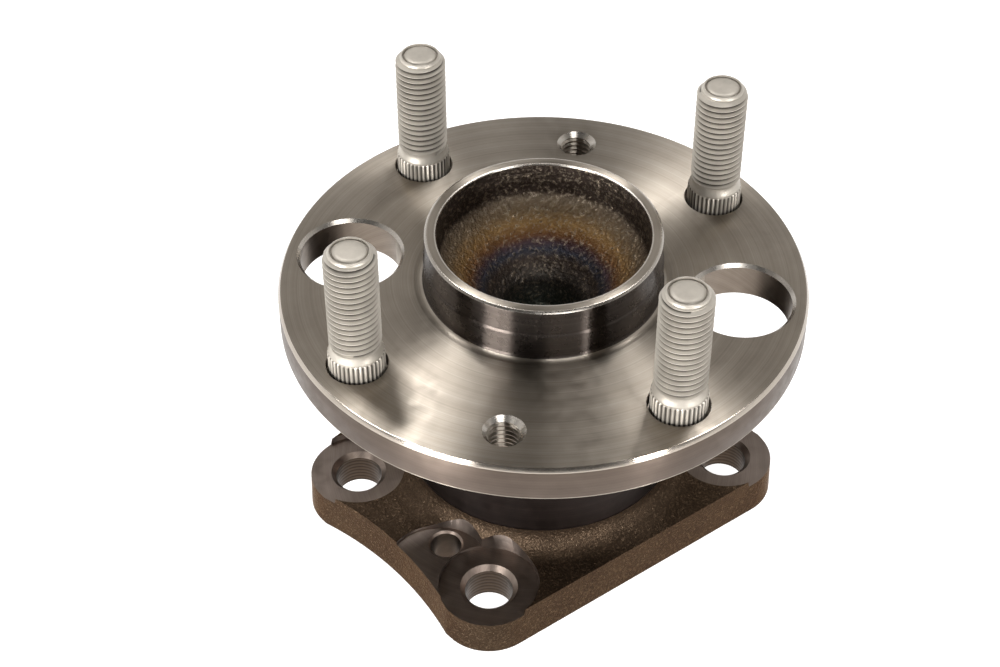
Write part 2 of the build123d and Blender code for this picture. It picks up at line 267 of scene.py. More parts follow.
def make_forged_group():
    """The grainy skin of a hot forging after shot blasting: dents, grain and bright specks."""
    tree, given, out = new_group(
        "forged_skin", {"Grain per metre": 1400.0}, ["Height", "Specks", "Shade"]
    )
    place = object_place(tree)
    grain = noise_node(tree, place, given.outputs[0], 3.0, 0.65)
    dents_scale = math_node(tree, "MULTIPLY", given.outputs[0], 0.3)
    dents = noise_node(tree, place, dents_scale, 2.0, 0.5)
    cloud_scale = math_node(tree, "MULTIPLY", given.outputs[0], 0.06)
    cloud = noise_node(tree, place, cloud_scale, 4.0, 0.6)
    pits = math_node(tree, "ADD", grain, math_node(tree, "MULTIPLY", dents, 0.8))
    link(tree, pits, out.inputs["Height"])
    ramp = tree.nodes.new("ShaderNodeValToRGB")
    fill_ramp(ramp, [(0.52, (0, 0, 0)), (0.68, (1, 1, 1))])
    link(tree, grain, ramp.inputs["Fac"])
    link(tree, ramp.outputs["Color"], out.inputs["Specks"])
    link(tree, cloud, out.inputs["Shade"])
    return tree


def make_feed_group():
    """The even rings that a drill's feed leaves down a hole."""
    tree, given, out = new_group("feed_marks", {"Pitch": 0.001}, ["Height", "Shade"])
    place = object_place(tree)
    radius, height = about_axis(tree)
    wander = math_node(tree, "MULTIPLY", noise_node(tree, place, 160.0, 2.0), 0.4 * MM)
    turns = math_node(tree, "DIVIDE", math_node(tree, "ADD", height, wander), given.outputs[0])
    wave = math_node(tree, "PINGPONG", turns, 0.5)
    link(tree, math_node(tree, "MULTIPLY", wave, 2.0), out.inputs["Height"])
    link(tree, noise_node(tree, place, 900.0, 3.0, 0.6), out.inputs["Shade"])
    return tree


# ---------------------------------------------------------------- materials

def new_material(name):
    material = bpy.data.materials.new(name)
    material.use_nodes = True
    tree = material.node_tree
    return material, tree, tree.nodes["Principled BSDF"]


def use_group(tree, group, **values):
    node = tree.nodes.new("ShaderNodeGroup")
    node.node_tree = group
    for label, value in values.items():
        node.inputs[label.replace("_", " ")].default_value = value
    return node.outputs


def mixed(tree, factor, low, high):
    """A colour between two, each a colour or a socket."""
    node = tree.nodes.new("ShaderNodeMix")
    node.data_type = "RGBA"
    link(tree, factor, node.inputs["Factor"])
    for socket, value in ((node.inputs[6], low), (node.inputs[7], high)):
        if isinstance(value, tuple):
            socket.default_value = (*value, 1)
        else:
            link(tree, value, socket)
    return node.outputs[2]


def ranged(tree, value, low, high, start=0.3, end=0.7):
    """A number that goes from low to high as value goes from start to end."""
    node = tree.nodes.new("ShaderNodeMapRange")
    link(tree, value, node.inputs["Value"])
    node.inputs["From Min"].default_value = start
    node.inputs["From Max"].default_value = end
    node.inputs["To Min"].default_value = low
    node.inputs["To Max"].default_value = high
    return node.outputs["Result"]


def surfaced(tree, shader, colour, roughness, metallic=0.0):
    """Joins a colour and a roughness that change over the surface, and sets the metal."""
    link(tree, colour, shader.inputs["Base Color"])
    link(tree, roughness, shader.inputs["Roughness"])
    shader.inputs["Metallic"].default_value = metallic


def bumped(tree, shader, height, depth):
    bump = tree.nodes.new("ShaderNodeBump")
    bump.inputs["Distance"].default_value = depth
    bump.inputs["Strength"].default_value = 1.0
    link(tree, height, bump.inputs["Height"])
    link(tree, bump.outputs[0], shader.inputs["Normal"])


def turned_steel(name, dark, light, roughness, anisotropy, rings, depth, stain=0.5):
    """Steel off the lathe: highlights spread across the rings, with faint stains."""
    material, tree, shader = new_material(name)
    marks = use_group(tree, TURNING, Rings_per_metre=rings)
    stains = use_group(tree, STAINS, Scale=38.0)
    shade = math_node(tree, "MULTIPLY", marks["Shade"], 1.0 - stain)
    shade = math_node(tree, "ADD", shade, math_node(tree, "MULTIPLY", stains["Fac"], stain))
    colour = mixed(tree, ranged(tree, shade, 0, 1, 0.35, 0.65), dark, light)
    haze = ranged(tree, stains["Fine"], roughness * 0.85, roughness * 1.2)
    surfaced(tree, shader, colour, haze, 1.0)
    shader.inputs["Anisotropic"].default_value = anisotropy
    shader.inputs["Anisotropic Rotation"].default_value = 0.25
    tangent = tree.nodes.new("ShaderNodeTangent")
    tangent.direction_type = "RADIAL"
    tangent.axis = "Z"
    link(tree, tangent.outputs[0], shader.inputs["Tangent"])
    bumped(tree, shader, marks["Height"], depth)
    return material


def forged_steel(name, dark, light, speck, roughness, grain, depth):
    """Shot-blasted forging skin."""
    material, tree, shader = new_material(name)
    skin = use_group(tree, FORGED, Grain_per_metre=grain)
    base = mixed(tree, ranged(tree, skin["Shade"], 0, 1), dark, light)
    colour = mixed(tree, skin["Specks"], base, speck)
    haze = ranged(tree, skin["Specks"], roughness, roughness * 0.7, 0, 1)
    surfaced(tree, shader, colour, haze, 0.75)
    shader.inputs["Specular IOR Level"].default_value = 0.3
    shader.inputs["Specular Tint"].default_value = (0.62, 0.45, 0.31, 1)
    bumped(tree, shader, skin["Height"], depth)
    return material


def bored_steel(name, dark, light, roughness, pitch, depth):
    """The wall of a drilled hole, with its feed marks."""
    material, tree, shader = new_material(name)
    marks = use_group(tree, FEED, Pitch=pitch * MM)
    colour = mixed(tree, ranged(tree, marks["Height"], 0, 1, 0.1, 0.9), dark, light)
    haze = ranged(tree, marks["Shade"], roughness * 0.8, roughness * 1.25)
    surfaced(tree, shader, colour, haze, 1.0)
    bumped(tree, shader, marks["Height"], depth)
    return material


def zinc_groove_shaded(name, dark, light, groove):
    """A dull zinc coat, with painted shade that darkens it in the grooves."""
    material, tree, shader = new_material(name)
    skin = use_group(tree, FORGED, Grain_per_metre=3200.0)
    crest = tree.nodes.new("ShaderNodeAttribute")
    crest.attribute_name = "crest"
    coat = mixed(tree, ranged(tree, skin["Shade"], 0, 1), dark, light)
    unshaded_share = ranged(tree, crest.outputs["Fac"], 0, 1, 0.05, 0.62)
    haze = ranged(tree, skin["Specks"], 0.46, 0.36, 0, 1)
    # Painted shade: the coat turns to the groove colour where the crest attribute is low.
    surfaced(tree, shader, mixed(tree, unshaded_share, groove, coat), haze, 0.6)
    bumped(tree, shader, skin["Height"], 0.01 * MM)
    return material


def moulded(name, dark, light, roughness, depth):
    """Plastic or rubber with the fine grain of its mould."""
    material, tree, shader = new_material(name)
    stains = use_group(tree, STAINS, Scale=160.0)
    colour = mixed(tree, ranged(tree, stains["Fac"], 0, 1), dark, light)
    haze = ranged(tree, stains["Fine"], roughness * 0.85, roughness * 1.2)
    surfaced(tree, shader, colour, haze)
    bumped(tree, shader, stains["Fine"], depth)
    return material


def rolled_sheet(name, dark, light, roughness):
    """Drawn sheet metal with faint draw marks about the axis."""
    material, tree, shader = new_material(name)
    marks = use_group(tree, TURNING, Rings_per_metre=1400.0)
    stains = use_group(tree, STAINS, Scale=60.0)
    shade = math_node(tree, "ADD", marks["Shade"], math_node(tree, "SUBTRACT", stains["Fac"], 0.5))
    haze = ranged(tree, stains["Fine"], roughness * 0.8, roughness * 1.3)
    surfaced(tree, shader, mixed(tree, ranged(tree, shade, 0, 1), dark, light), haze, 1.0)
    bumped(tree, shader, marks["Height"], 0.002 * MM)
    return material


def polished(name, dark, light):
    """Lapped bearing steel, with no more than a breath of haze."""
    material, tree, shader = new_material(name)
    stains = use_group(tree, STAINS, Scale=120.0)
    colour = mixed(tree, ranged(tree, stains["Fac"], 0, 1), dark, light)
    surfaced(tree, shader, colour, ranged(tree, stains["Fine"], 0.05, 0.09), 1.0)
    return material


# Colours of the bowl up its height in millimetres, from the pocket's floor to the mouth.
BOWL_TINTS = [
    (-17.0, (0.07, 0.085, 0.068)),
    (-10.0, (0.064, 0.06, 0.052)),
    (-5.2, (0.07, 0.052, 0.042)),
    (-3.6, (0.05, 0.052, 0.068)),
    (-2.3, (0.07, 0.04, 0.042)),
    (-1.2, (0.15, 0.07, 0.026)),
    (0.4, (0.25, 0.145, 0.055)),
    (2.2, (0.15, 0.103, 0.058)),
    (4.2, (0.12, 0.09, 0.062)),
    (5.2, (0.038, 0.026, 0.019)),
    (13.3, (0.034, 0.024, 0.018)),
]
BOWL_SPECK = (0.42, 0.34, 0.25)


def tinted_bowl(name, roughness, grain, depth):
    """Forging skin in the temper colours that induction hardening leaves."""
    material, tree, shader = new_material(name)
    skin = use_group(tree, FORGED, Grain_per_metre=grain)
    place = object_place(tree)
    radius, height = about_axis(tree)
    drift = 1.6 * MM
    wander = math_node(tree, "MULTIPLY", noise_node(tree, place, 420.0, 4.0, 0.7), drift)
    up = math_node(tree, "ADD", height, math_node(tree, "SUBTRACT", wander, drift / 2))
    low, high = BOWL_TINTS[0][0], BOWL_TINTS[-1][0]
    ramp = tree.nodes.new("ShaderNodeValToRGB")
    fill_ramp(ramp, [((level - low) / (high - low), colour) for level, colour in BOWL_TINTS])
    link(tree, ranged(tree, up, 0, 1, low * MM, high * MM), ramp.inputs["Fac"])
    share = ranged(tree, skin["Specks"], 0, 0.5, 0, 1)
    colour = mixed(tree, share, ramp.outputs["Color"], BOWL_SPECK)
    haze = ranged(tree, skin["Specks"], roughness, roughness * 0.7, 0, 1)
    surfaced(tree, shader, colour, haze, 0.8)
    bumped(tree, shader, skin["Height"], depth)
    return material


# ---------------------------------------------------------------- modelling helpers

def start_piece(name, place=(0, 0, 0)):
    """A new object of one vertex at a place, in edit mode, with that vertex selected."""
    if bpy.context.mode != "OBJECT":
        bpy.ops.object.mode_set(mode="OBJECT")
    bpy.ops.object.select_all(action="DESELECT")
    bpy.ops.mesh.primitive_plane_add(size=MM, location=(0, 0, 0))
    piece = bpy.context.object
    piece.name = name
    piece.data.name = name
    bpy.ops.object.mode_set(mode="EDIT")
    bpy.ops.mesh.select_mode(type="VERT")
    bpy.ops.mesh.select_all(action="SELECT")
    bpy.ops.mesh.merge(type="CENTER")
    bpy.ops.transform.translate(value=place)
    return piece


def draw(points):
    """Extrudes the selected vertex along the rest of a section's (radius, height) points."""
    for (r0, z0), (r1, z1) in zip(points, points[1:]):
        bpy.ops.mesh.extrude_vertices_move(TRANSFORM_OT_translate={"value": (r1 - r0, 0, z1 - z0)})


def millimetres(points):
    return [(r * MM, z * MM) for r, z in points]


def lathe(name, points, steps):
    """Turns a section of (radius, height) points, in millimetres, about the Z axis."""
    section = millimetres(points)
    piece = start_piece(name, (section[0][0], 0, section[0][1]))
    draw(section)
    bpy.ops.mesh.select_all(action="SELECT")
    bpy.ops.mesh.spin(steps=steps, angle=tau, center=(0, 0, 0), axis=(0, 0, 1))
    bpy.ops.mesh.select_all(action="SELECT")
    bpy.ops.mesh.remove_doubles(threshold=0.0005 * MM)
    bpy.ops.mesh.normals_make_consistent(inside=False)
    bpy.ops.object.mode_set(mode="OBJECT")
    return piece


def only(piece):
    bpy.ops.object.select_all(action="DESELECT")
    piece.select_set(True)
    bpy.context.view_layer.objects.active = piece


def set_down(piece, place, turn=0.0):
    """Turns a piece about Z, moves it, and puts both into its mesh."""
    only(piece)
    piece.location = place
    piece.rotation_euler = (0, 0, radians(turn))
    bpy.ops.object.transform_apply(location=True, rotation=True, scale=True)


def copied(piece, name):
    copy = piece.copy()
    copy.data = piece.data.copy()
    copy.name = name
    copy.data.name = name
    bpy.context.scene.collection.objects.link(copy)
    return copy


def apply_modifier(piece, kind, **settings):
    only(piece)
    modifier = piece.modifiers.new(kind.lower(), kind)
    for key, value in settings.items():
        setattr(modifier, key, value)
    bpy.ops.object.modifier_apply(modifier=modifier.name)


def carve(piece, tool, operation="DIFFERENCE"):
    """Cuts or adds another piece, which is then removed."""
    apply_modifier(piece, "BOOLEAN", object=tool, operation=operation, solver="EXACT")
    bpy.data.objects.remove(tool)


def close_slivers(piece):
    """Merges the doubles that carving leaves and fills the slivers that it drops."""
    only(piece)
    bpy.ops.object.mode_set(mode="EDIT")
    bpy.ops.mesh.select_all(action="SELECT")
    bpy.ops.mesh.remove_doubles(threshold=0.0005 * MM)
    bpy.ops.mesh.select_all(action="SELECT")
    bpy.ops.mesh.fill_holes(sides=4)
    bpy.ops.object.mode_set(mode="OBJECT")


def smooth(piece, angle):
    only(piece)
    bpy.ops.object.shade_smooth_by_angle(angle=radians(angle))


def everywhere(r, z, normal, centre):
    return True


def paint(piece, rules):
    """Gives each face the first material whose test passes.

    A test gets the distance of the face's centre from the axis, its height, the face's normal, and
    its centre.
    """
    piece.data.materials.clear()
    for material, test in rules:
        piece.data.materials.append(material)
    for face in piece.data.polygons:
        centre = face.center / MM
        radius = hypot(centre.x, centre.y)
        for index, (material, test) in enumerate(rules):
            if test(radius, centre.z, face.normal, centre):
                face.material_index = index
                break


def thread_cutter(name, crest, root, pitch, low, high, steps=48, inside=False):
    """A helical ridge: the groove of an outside thread, or the tap of an inside one."""
    reach = -0.1 if inside else 0.1
    mouth = pitch * 0.475
    flat = pitch * 0.1
    section = millimetres([
        (crest + reach, low - mouth),
        (root, low - flat),
        (root, low + flat),
        (crest + reach, low + mouth),
    ])
    piece = start_piece(name, (section[0][0], 0, section[0][1]))
    draw(section)
    bpy.ops.mesh.select_all(action="SELECT")
    bpy.ops.mesh.edge_face_add()
    bpy.ops.object.mode_set(mode="OBJECT")
    turns = round((high - low) / pitch)
    apply_modifier(
        piece, "SCREW", axis="Z", screw_offset=pitch * MM, iterations=turns,
        steps=steps, render_steps=steps, use_merge_vertices=True, merge_threshold=0.001 * MM,
    )
    only(piece)
    bpy.ops.object.mode_set(mode="EDIT")
    bpy.ops.mesh.select_all(action="SELECT")
    bpy.ops.mesh.remove_doubles(threshold=0.001 * MM)
    bpy.ops.mesh.select_all(action="DESELECT")
    bpy.ops.mesh.select_mode(type="EDGE")
    bpy.ops.mesh.select_non_manifold(extend=False)
    bpy.ops.mesh.edge_face_add()
    bpy.ops.mesh.select_mode(type="VERT")
    bpy.ops.mesh.select_all(action="SELECT")
    bpy.ops.mesh.normals_make_consistent(inside=False)
    bpy.ops.object.mode_set(mode="OBJECT")
    return piece


# ---------------------------------------------------------------- wheel studs

THREAD_R = 5.85
THREAD_ROOT_R = 5.0
THREAD_PITCH = 1.5
THREAD_LOW = 7.0
STUD_TOP = 32.5
STUD_STEPS = 96
DISH_R = 3.9  # the groove round the dished tip
KNURL_TEETH = 36
KNURL_TIP_R = 6.34
KNURL_ROOT_R = 5.98
KNURL_TOP = 4.2
KNURL_END = -3.4
HEAD_R = 7.7
HEAD_END = -12.7


def make_stud_blank():
    """The turned body with its pressed-in end, collar and dished tip, before the thread."""
    dished_tip = [
        (0, STUD_TOP - 0.12),
        (2.6, STUD_TOP - 0.14),
        (3.55, STUD_TOP - 0.22),
        (3.78, STUD_TOP - 0.42),
        (DISH_R, STUD_TOP - 0.7),
        (4.08, STUD_TOP - 0.68),
        (4.18, STUD_TOP - 0.12),
        (4.3, STUD_TOP - 0.02),
        (4.48, STUD_TOP - 0.12),
    ]
    shank = [
        (4.72, STUD_TOP - 0.48),
        (4.8, STUD_TOP - 0.7),
        (4.74, STUD_TOP - 0.88),
        (5.16, STUD_TOP - 1.1),
        (THREAD_R, STUD_TOP - 1.75),
        (THREAD_R, THREAD_LOW + 0.1),
        (5.74, THREAD_LOW - 0.05),
        (5.62, THREAD_LOW - 0.35),
        (5.6, THREAD_LOW - 0.75),
    ]
    collar = [
        (5.68, KNURL_TOP + 1.5),
        (5.86, KNURL_TOP + 0.9),
        (6.02, KNURL_TOP + 0.5),
        (6.06, KNURL_TOP + 0.1),
        (KNURL_ROOT_R, KNURL_TOP - 0.3),
        (KNURL_ROOT_R, FLANGE_BACK + 0.05),
    ]
    head = [
        (HEAD_R - 0.1, FLANGE_BACK),
        (HEAD_R, FLANGE_BACK - 0.15),
        (HEAD_R, HEAD_END + 0.8),
        (HEAD_R - 0.3, HEAD_END + 0.25),
        (HEAD_R - 0.8, HEAD_END),
        (0, HEAD_END),
    ]
    return lathe("wheel_stud", dished_tip + shank + collar + head, STUD_STEPS)


def make_knurl():
    """A sleeve of pointed straight teeth."""
    buried = KNURL_ROOT_R - 0.3
    steps_per_tooth = 4
    steps = KNURL_TEETH * steps_per_tooth
    section = [
        (buried, KNURL_TOP + 0.05),
        (KNURL_ROOT_R, KNURL_TOP + 0.05),
        (KNURL_TIP_R, KNURL_TOP - 0.35),
        (KNURL_TIP_R, KNURL_END),
        (buried, KNURL_END),
    ]
    knurl = lathe("knurl", section + section[:1], steps)
    squeeze = {1: 0.5, 2: 1.0, 3: 0.5}
    for vertex in knurl.data.vertices:
        radius = hypot(vertex.co.x, vertex.co.y)
        step = round(atan2(vertex.co.y, vertex.co.x) / tau * steps) % steps_per_tooth
        if radius > (KNURL_ROOT_R + 0.05) * MM and step in squeeze:
            depth = (KNURL_TIP_R - KNURL_ROOT_R) * MM * squeeze[step]
            vertex.co.xy *= (radius - depth) / radius
    return knurl


def paint_groove_shade(stud):
    """Stores the painted shade at each point, from 0, fully shaded, in a groove to 1, unshaded, on
    a crest.
    """
    crest = stud.data.attributes.new("crest", "FLOAT", "POINT")
    for vertex, value in zip(stud.data.vertices, crest.data):
        radius, height = hypot(vertex.co.x, vertex.co.y) / MM, vertex.co.z / MM
        if height > STUD_TOP - 1.3:
            # The groove round the dished tip gets painted shade as well.
            in_dish = DISH_R - 0.1 < radius < DISH_R + 0.22 and height < STUD_TOP - 0.4
            unshaded = 0.4 if in_dish else 1.0
        elif height > THREAD_LOW - 0.2:
            unshaded = (radius - THREAD_ROOT_R) / (THREAD_R - THREAD_ROOT_R)
        elif height < KNURL_TOP - 0.2:
            unshaded = 0.7 * (radius - KNURL_ROOT_R) / (KNURL_TIP_R - KNURL_ROOT_R)
        else:
            unshaded = 0.75
        value.value = min(max(unshaded, 0.0), 1.0)


def make_studs():
    stud = make_stud_blank()
    thread = thread_cutter(
        "thread", THREAD_R, THREAD_ROOT_R, THREAD_PITCH, THREAD_LOW - 0.3, STUD_TOP + 1.0
    )
    carve(stud, thread)
    carve(stud, make_knurl(), "UNION")
    paint_groove_shade(stud)
    smooth(stud, 38)
    stud.data.materials.append(STUD_ZINC)
    for number, angle in enumerate(STUD_ANGLES, 1):
        thread_start = angle * 3
        piece = copied(stud, f"threaded_stud_{number}")
        set_down(piece, polar(STUD_CIRCLE_R * MM, angle), thread_start)
        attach(piece, "wheel_side")
        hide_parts(f"wheel_stud_{number}")
    bpy.data.objects.remove(stud)


# ---------------------------------------------------------------- wheel hub

HUB_STEPS = 240
BOWL_R = 24.25
BOWL_FLOOR = -17.0
PILOT_R = 27.0  # centres the wheel
DISC_PILOT_R = 27.35  # centres the brake disc
PILOT_TOP = 13.3
RELIEF_R = 29.7
BOSS_FACE = -14.2
SEAL_LAND_R = 5.0
SEAL_LAND = (26.373, BOSS_FACE - SEAL_LAND_R)
PITCH_R = 23.5
OUTBOARD_ROW = -28.0
RACE_R = 4.8525
RING_SEAT_R = 14.0
SPINDLE_END = -68.0
ACCESS_R = 11.75
ACCESS_EDGE = 0.75
PULLER_DRILL_R = 3.45
PULLER_THREAD_R = 4.0
PULLER_PITCH = 1.25
PULLER_EDGE = 1.3
STUD_HOLE_R = 6.1
STUD_RELIEF_R = 6.85
STUD_RELIEF_FLOOR = -3.0


def arc(centre, radius, start, end, steps):
    """Points of a section's arc, at angles about its centre."""
    turns = [radians(start + (end - start) * i / steps) for i in range(steps + 1)]
    return [(centre[0] + radius * cos(t), centre[1] + radius * sin(t)) for t in turns]


def make_hub():
    """Bowl, two-step spigot, flange, boss and the spindle with its outboard raceway."""
    bowl = [
        (0, BOWL_FLOOR),
        (5.6, BOWL_FLOOR),
        (7.0, -16.7),
        (8.0, -15.8),
        (8.4, -14.6),
        (9.15, -9.4),
        (9.6, -8.2),
        (10.6, -7.3),
        (12.1, -5.6),
        (13.2, -4.2),
        (14.3, -3.0),
        (15.8, -1.8),
        (22.0, 2.7),
        (23.4, 3.9),
        (24.05, 5.0),
        (BOWL_R, 6.4),
        (BOWL_R, 12.9),
        (24.4, 13.2),
        (24.7, PILOT_TOP),
    ]
    spigot = [
        (26.35, PILOT_TOP),
        (26.62, 13.2),
        (26.94, 12.88),
        (PILOT_R, 12.6),
        (PILOT_R, 7.0),
        (27.04, 6.82),
        (27.3, 6.42),
        (DISC_PILOT_R, 6.2),
        (DISC_PILOT_R, 0.95),
        (27.42, 0.62),
        (27.7, 0.2),
        (28.1, -0.1),
        (28.5, -0.2),
        (29.15, -0.17),
        (29.5, -0.03),
        (RELIEF_R, 0),
    ]
    flange = [
        (59.85, 0),
        (60.03, -0.05),
        (60.56, -0.98),
        (FLANGE_R, -1.15),
        (FLANGE_R, -8.55),
        (60.5, -8.9),
        (60.15, FLANGE_BACK),
        (33.0, FLANGE_BACK),
        (32.45, -9.35),
        (32.2, -9.9),
        (30.8, -13.8),
        (30.3, BOSS_FACE),
        (SEAL_LAND[0], BOSS_FACE),
    ]
    seal_land = arc(SEAL_LAND, SEAL_LAND_R, 90, 180, 8)[1:]
    raceway = arc((PITCH_R, OUTBOARD_ROW), RACE_R, 116, 180, 10)
    spindle = [
        (PITCH_R - RACE_R, -39.7),
        (18.3, -40.0),
        (RING_SEAT_R, -40.0),
        (RING_SEAT_R, -62.5),
        (15.5, -64.0),
        (18.0, -64.0),
        (18.0, -66.2),
        (17.5, -67.4),
        (16.2, SPINDLE_END),
        (8.5, SPINDLE_END),
        (6.0, -59.0),
        (0, -59.0),
    ]
    hub = lathe("hub", bowl + spigot + flange + seal_land + raceway + spindle, HUB_STEPS)
    for half_turn in (0, 180):
        place = polar(BOLT_CIRCLE_R * MM, ACCESS_ANGLE + half_turn)
        carve(hub, round_cutter("access", ACCESS_R, ACCESS_EDGE, ACCESS_EDGE, place, 128))
        place = polar(STUD_CIRCLE_R * MM, PULLER_ANGLE + half_turn)
        carve(hub, round_cutter("puller", PULLER_DRILL_R, PULLER_EDGE, 0.0, place, 64))
        tap = thread_cutter(
            "tap", PULLER_DRILL_R, PULLER_THREAD_R, PULLER_PITCH,
            FLANGE_BACK - 1.2, 1.2, steps=40, inside=True,
        )
        set_down(tap, place)
        carve(hub, tap)
    for angle in STUD_ANGLES:
        place = polar(STUD_CIRCLE_R * MM, angle)
        carve(hub, round_cutter("relief", STUD_RELIEF_R, 0.15, 0.0, place, 96, STUD_RELIEF_FLOOR))
        carve(hub, round_cutter("stud_bore", STUD_HOLE_R, 0.0, 0.0, place, 96))
    close_slivers(hub)
    smooth(hub, 28)
    paint(hub, [
        (FACE_STEEL, flat_up),
        (FACE_STEEL, on_relief),
        (BOWL_SKIN, in_bowl),
        (PILOT_SHADED_STEEL, on_pilot),
        (RIM_SHADED_STEEL, on_rim),
        (CHAMFER_STEEL, on_chamfer),
        (EDGE_HIGHLIGHT_STEEL, on_edge),
        (BORE_STEEL, in_bore),
        (RING_STEEL, on_spindle),
        (FACE_STEEL, everywhere),
    ])
    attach(hub, "wheel_side")
    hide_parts("wheel_hub")


def round_cutter(name, radius, edge, back_edge, place, steps, floor=FLANGE_BACK):
    """A cutter for a round hole with 45 degree edges at the flange's face and back."""
    over = 1.0
    below = floor - over
    points = [(0, over)]
    if edge:
        points += [(radius + edge + over, over), (radius, -edge)]
    else:
        points += [(radius, over)]
    if floor > FLANGE_BACK:
        points += [(radius, floor), (0, floor)]
    elif back_edge:
        points += [(radius, floor + back_edge), (radius + back_edge + over, below), (0, below)]
    else:
        points += [(radius, below), (0, below)]
    cutter = lathe(name, points, steps)
    set_down(cutter, place)
    return cutter


def flat_up(r, z, normal, centre):
    return normal.z > 0.99 and abs(z) < 0.05 and r > RELIEF_R - 0.1


def in_bowl(r, z, normal, centre):
    return r < BOWL_R + 0.01 and BOWL_FLOOR - 0.1 < z < PILOT_TOP - 0.3


def on_pilot(r, z, normal, centre):
    return PILOT_R - 0.1 < r < 28.45 and -0.3 < z < 12.95 and abs(normal.z) < 0.93


def on_relief(r, z, normal, centre):
    """The groove at the spigot's foot."""
    return 27.6 < r < RELIEF_R + 0.05 and -0.3 < z < 0.1


def on_rim(r, z, normal, centre):
    return r > FLANGE_R - 0.1 and z > FLANGE_BACK + 0.6 and abs(normal.z) < 0.1


def on_edge(r, z, normal, centre):
    """The broken edges of the face's holes and of the spigot's mouth."""
    return 0.05 < abs(normal.z) < 0.99 and z > -1.4


def on_chamfer(r, z, normal, centre):
    return r > 59.8 and -1.2 < z < 0 and normal.z > 0.05


def in_bore(r, z, normal, centre):
    return abs(normal.z) < 0.5 and 37 < r < 60


def on_spindle(r, z, normal, centre):
    return z < BOSS_FACE - 0.05


# ---------------------------------------------------------------- outer ring

BOLT_ANGLES = (27.05, 152.95, 218.05, 321.95)
BOLTS = [polar(BOLT_CIRCLE_R, angle) for angle in BOLT_ANGLES]
BOLT_HOLE_R = 5.6
SIDE_HOLE = polar(38.7, 198.06)
SIDE_HOLE_R = 3.65
SIDE_SPOT_Z = -57.7
SIDE_SPOT_LIFT = 0.7
SPOTS = BOLTS + [polar(BOLT_CIRCLE_R, 201.4)]
SPOT_REACH = 12.3  # just past the walls of the spotfaces
SPOTFACE_Z = -58.0
MOUNT_FACE = -66.9
NECK_R = 32.8
NECK_FOOT = -50.25
FLANK_R = 33.0
FLANK_FILLET = 5.5
PLATE_TOP = -56.3
RECESSED = PLATE_TOP - 0.7  # the holes and their edges lie lower
HOLLOW_ROUND = 1.0


def merged_copy(node, name):
    """A copy of a solid's mesh with its loose triangles joined and its flats cleared of edges."""
    piece = copied(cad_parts[node], name)
    piece.parent = None
    piece.data.materials.clear()
    only(piece)
    bpy.ops.object.mode_set(mode="EDIT")
    bpy.ops.mesh.select_all(action="SELECT")
    bpy.ops.mesh.remove_doubles(threshold=0.002 * MM)
    bpy.ops.mesh.select_all(action="DESELECT")
    bpy.ops.mesh.select_mode(type="FACE")
    bpy.ops.object.mode_set(mode="OBJECT")
    for face in piece.data.polygons:
        face.select = abs(face.normal.z) > 0.99999
    bpy.ops.object.mode_set(mode="EDIT")
    bpy.ops.mesh.dissolve_limited(angle_limit=radians(0.05))
    bpy.ops.object.mode_set(mode="OBJECT")
    bpy.ops.mesh.customdata_custom_splitnormals_clear()
    return piece


def near_bolt(centre, reach):
    return any((centre.xy - bolt.xy).length < reach for bolt in BOLTS)


def near_side_hole(centre, reach):
    return (centre.xy - SIDE_HOLE.xy).length < reach


def on_neck(r, z, normal, centre):
    return r < NECK_R + 0.3 and NECK_FOOT - 0.15 < z < -16.5


def in_bolt_bore(r, z, normal, centre):
    return near_bolt(centre, BOLT_HOLE_R + 0.1) and abs(normal.z) < 0.2 and z < RECESSED


def in_side_bore(r, z, normal, centre):
    return near_side_hole(centre, SIDE_HOLE_R + 0.1) and abs(normal.z) < 0.2 and z < RECESSED


def on_bore_edge(r, z, normal, centre):
    by_hole = near_bolt(centre, BOLT_HOLE_R + 1.3) or near_side_hole(centre, SIDE_HOLE_R + 0.65)
    return by_hole and 0.2 < normal.z < 0.95 and z < RECESSED


def on_spotface(r, z, normal, centre):
    return normal.z > 0.95 and SPOTFACE_Z - 0.1 < z < PLATE_TOP - 0.6


def on_spot_wall(r, z, normal, centre):
    if abs(normal.z) > 0.03 or z < SPOTFACE_Z - 0.1 or r < FLANK_R + 0.05:
        return False
    reaches = [centre.xy - spot.xy for spot in SPOTS]
    return any(reach.length < SPOT_REACH and reach.dot(normal.xy) < 0 for reach in reaches)


def underneath(r, z, normal, centre):
    """The machined side that meets the axle, and all inside the neck."""
    return z < MOUNT_FACE + 0.1 or r < NECK_R - 0.2


def edges_between(piece, test):
    """Selects, in edit mode, the edges whose two faces' normals and two ends pass a test."""
    only(piece)
    bpy.ops.object.mode_set(mode="EDIT")
    bpy.ops.mesh.select_mode(type="EDGE")
    bpy.ops.mesh.select_all(action="DESELECT")
    bpy.ops.object.mode_set(mode="OBJECT")
    mesh = piece.data
    sides = {}
    for face in mesh.polygons:
        for key in face.edge_keys:
            sides.setdefault(key, []).append(face.normal.copy())
    for edge in mesh.edges:
        normals = sides.get(edge.key, [])
        if len(normals) == 2:
            ends = [mesh.vertices[index].co / MM for index in edge.vertices]
            edge.select = bool(test(*normals, *ends))
    bpy.ops.object.mode_set(mode="EDIT")


def is_outline(a, b, start, end):
    """The sharp upper edge of the forging's outline."""
    upper, side = (a, b) if a.z > b.z else (b, a)
    away = min(start.xy.length, end.xy.length) > FLANK_R + 0.5
    return upper.z > 0.6 and abs(side.z) < 0.06 and start.z > PLATE_TOP - 0.3 and away


def is_hollow_edge(a, b, start, end):
    """The upper edge of the two hollowed sides."""
    middle = (start + end) / 2
    sideways = abs(middle.x) > 30 and abs(middle.y) < 16
    return is_outline(a, b, start, end) and sideways


